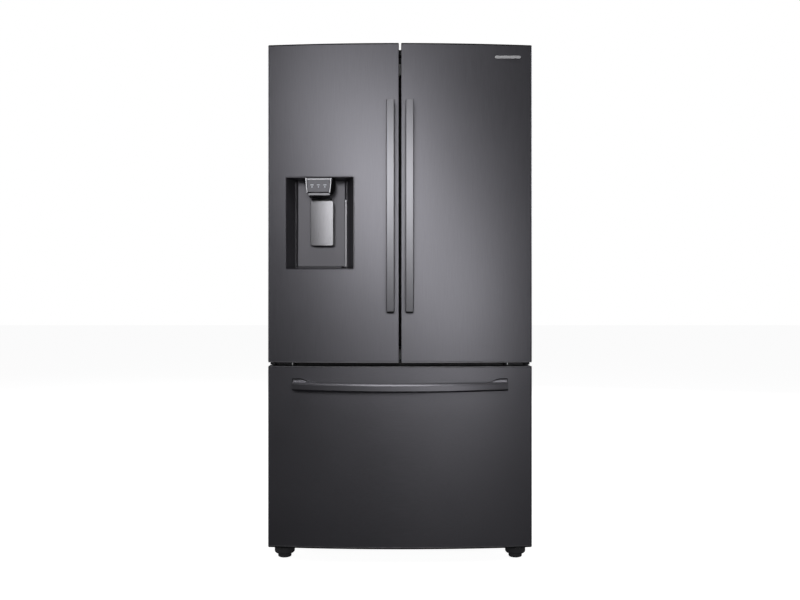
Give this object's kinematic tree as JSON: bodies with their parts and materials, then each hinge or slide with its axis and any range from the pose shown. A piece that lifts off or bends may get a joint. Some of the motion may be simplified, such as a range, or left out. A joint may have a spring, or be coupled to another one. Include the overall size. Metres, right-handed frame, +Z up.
{
  "type": "french door refrigerator",
  "caption": "French door refrigerator with a freezer drawer below, a water and ice dispenser in the left door, bar handles and levelling feet.",
  "frame": {"origin": "on the floor, in the middle of the object's outline seen from above", "axes": "+X to the user's right, -Y towards the user who stands in front, +Z up"},
  "size_m": [0.908, 0.927, 1.7775],
  "materials": {
    "brushed_graphite_steel": "satin",
    "handle_metal": "satin",
    "painted_wrap": "satin",
    "white_liner": "satin",
    "foam": "matte",
    "zinc_steel": "satin",
    "black_plastic": "satin",
    "dark_plastic": "satin",
    "clear_plastic": "gloss",
    "shelf_glass": "gloss",
    "seal_rubber": "matte",
    "copper": "satin",
    "satin_metal": "satin",
    "lamp_cover": "satin"
  },
  "bodies": {
    "cabinet": {"cabinet_wrap": "painted_wrap", "foam_insulation": "foam", "fridge_liner": "white_liner", "freezer_liner": "white_liner", "back_panel": "zinc_steel", "machine_cover": "zinc_steel", "base_tray": "zinc_steel", "top_cover": "black_plastic", "compressor": "black_plastic", "condenser_coil": "copper", "evaporator_coil": "zinc_steel", "air_duct_panel": "white_liner", "freezer_duct_panel": "white_liner", "upper_hinge_left": "zinc_steel", "upper_hinge_right": "zinc_steel", "middle_hinge_left": "zinc_steel", "middle_hinge_right": "zinc_steel", "shelf_left": "shelf_glass", "shelf_right": "shelf_glass", "crisper_shelf": "shelf_glass", "ice_room": "white_liner", "ceiling_light": "lamp_cover", "rail_outer_left": "zinc_steel", "rail_outer_right": "zinc_steel"},
    "left_door": {"left_door_panel": "brushed_graphite_steel", "left_door_liner": "white_liner", "left_gasket": "seal_rubber", "left_handle": "handle_metal", "dispenser_recess": "dark_plastic", "dispenser_head": "dark_plastic", "drip_tray": "dark_plastic", "left_bin_lower": "clear_plastic", "left_bin_upper": "clear_plastic"},
    "right_door": {"right_door_panel": "brushed_graphite_steel", "right_door_liner": "white_liner", "right_gasket": "seal_rubber", "right_handle": "handle_metal", "right_bin_lower": "clear_plastic", "right_bin_middle": "clear_plastic", "right_bin_upper": "clear_plastic", "maker_plate": "satin_metal"},
    "dispenser_paddle": {"paddle": "satin_metal"},
    "flipper": {"flipper_bar": "dark_plastic"},
    "freezer_drawer": {"drawer_panel": "brushed_graphite_steel", "drawer_liner": "white_liner", "drawer_gasket": "seal_rubber", "drawer_handle": "handle_metal", "freezer_basket": "clear_plastic", "rail_inner_left": "zinc_steel", "rail_inner_right": "zinc_steel"},
    "middle_rails": {"rail_middle_left": "zinc_steel", "rail_middle_right": "zinc_steel"},
    "upper_tray": {"freezer_tray": "clear_plastic"},
    "left_crisper": {"crisper_left": "clear_plastic"},
    "right_crisper": {"crisper_right": "clear_plastic"},
    "left_foot": {"foot_left": "black_plastic"},
    "right_foot": {"foot_right": "black_plastic"},
    "left_roller": {"roller_left": "black_plastic"},
    "right_roller": {"roller_right": "black_plastic"},
    "fan": {"condenser_fan": "dark_plastic"}
  },
  "joints": [
    {"name": "left_door_hinge", "type": "hinge", "parent": "cabinet", "child": "left_door", "pos_m": [-0.438, -0.34, 1.2], "axis": [0, 0, -1], "range_deg": [0, 110]},
    {"name": "right_door_hinge", "type": "hinge", "parent": "cabinet", "child": "right_door", "pos_m": [0.438, -0.34, 1.2], "axis": [0, 0, 1], "range_deg": [0, 110]},
    {"name": "paddle_hinge", "type": "hinge", "parent": "left_door", "child": "dispenser_paddle", "pos_m": [-0.273, -0.314, 1.252], "axis": [1, 0, 0], "range_deg": [0, 8], "stiffness_Nm_per_rad": 1.5, "springref_deg": -11.46},
    {"name": "flipper_hinge", "type": "hinge", "parent": "left_door", "child": "flipper", "pos_m": [-0.046, -0.289, 1.21], "axis": [0, 0, 1], "range_deg": [0, 75]},
    {"name": "freezer_slide", "type": "slide", "parent": "cabinet", "child": "freezer_drawer", "axis": [0, -1, 0], "range_m": [0, 0.4]},
    {"name": "middle_rail_slide", "type": "slide", "parent": "cabinet", "child": "middle_rails", "axis": [0, -1, 0], "range_m": [0, 0.2]},
    {"name": "upper_tray_slide", "type": "slide", "parent": "cabinet", "child": "upper_tray", "axis": [0, -1, 0], "range_m": [0, 0.24]},
    {"name": "left_crisper_slide", "type": "slide", "parent": "cabinet", "child": "left_crisper", "axis": [0, -1, 0], "range_m": [0, 0.1]},
    {"name": "right_crisper_slide", "type": "slide", "parent": "cabinet", "child": "right_crisper", "axis": [0, -1, 0], "range_m": [0, 0.1]},
    {"name": "left_foot_turn", "type": "hinge", "parent": "cabinet", "child": "left_foot", "pos_m": [-0.405, -0.298, 0.02], "axis": [0, 0, 1], "continuous": true},
    {"name": "right_foot_turn", "type": "hinge", "parent": "cabinet", "child": "right_foot", "pos_m": [0.405, -0.298, 0.02], "axis": [0, 0, 1], "continuous": true},
    {"name": "left_roller_axle", "type": "hinge", "parent": "cabinet", "child": "left_roller", "pos_m": [-0.38, 0.33, 0.0185], "axis": [1, 0, 0], "continuous": true},
    {"name": "right_roller_axle", "type": "hinge", "parent": "cabinet", "child": "right_roller", "pos_m": [0.38, 0.33, 0.0185], "axis": [1, 0, 0], "continuous": true},
    {"name": "fan_spin", "type": "hinge", "parent": "cabinet", "child": "fan", "pos_m": [0.04, 0.33, 0.18], "axis": [0, 1, 0], "continuous": true}
  ],
  "couplings": [
    {"joint": "middle_rail_slide", "follows": "freezer_slide", "ratio": 0.5},
    {"joint": "upper_tray_slide", "follows": "freezer_slide", "ratio": 0.6}
  ]
}
